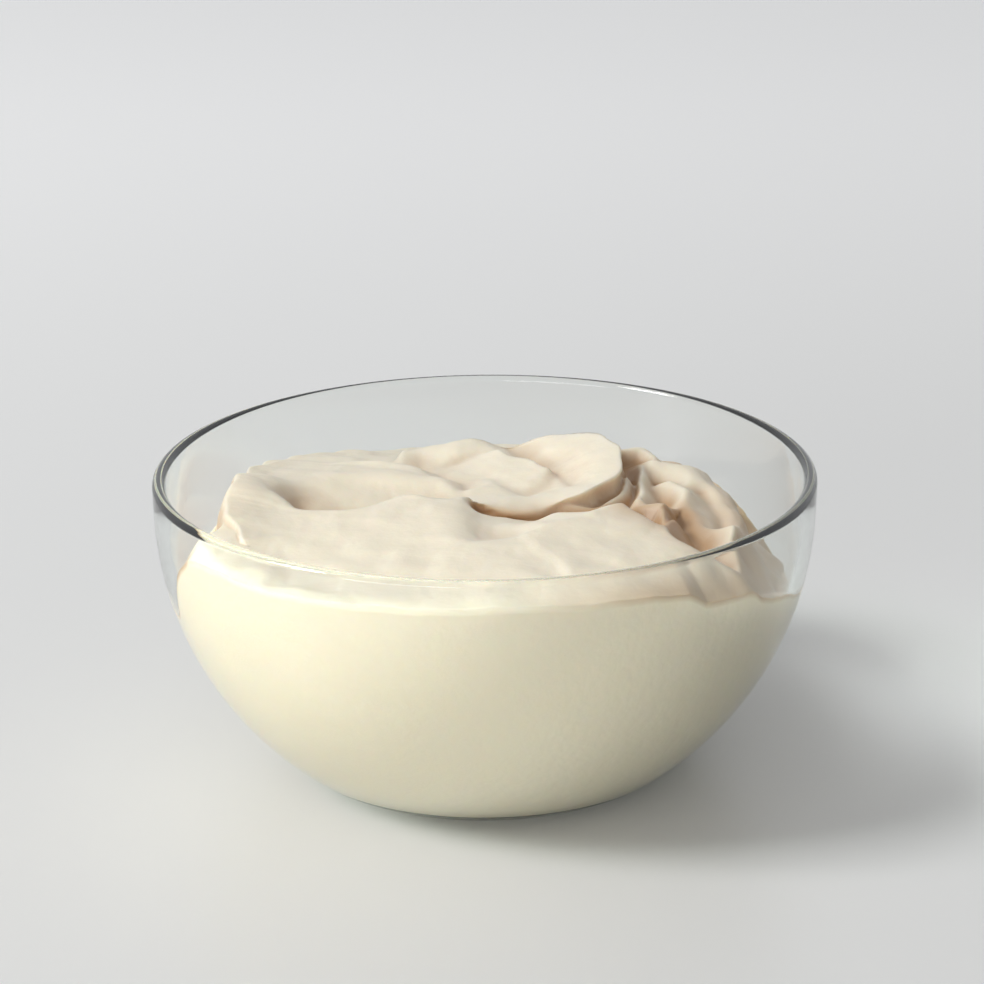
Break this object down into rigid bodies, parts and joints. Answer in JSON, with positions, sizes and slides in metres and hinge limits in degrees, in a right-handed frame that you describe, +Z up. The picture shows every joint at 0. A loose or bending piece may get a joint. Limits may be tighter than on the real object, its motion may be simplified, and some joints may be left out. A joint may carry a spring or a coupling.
{
  "type": "bowl of frosting",
  "caption": "Round clear glass bowl filled to its rim with pale whipped frosting, whose top is swirled into soft folds and a curl.",
  "frame": {"origin": "middle of the bowl's foot, on the surface it stands on", "axes": "+Z up through the middle of the bowl, +X to the right and +Y to the back of the swirl as seen from the front"},
  "size_m": [0.14, 0.14, 0.065],
  "materials": {
    "clear_glass": "polished, clear, faintly green at the rim",
    "frosting": "soft satin cream with a slight sheen"
  },
  "bodies": {
    "root": {"glass_bowl": "clear_glass", "frosting": "frosting"}
  },
  "joints": []
}
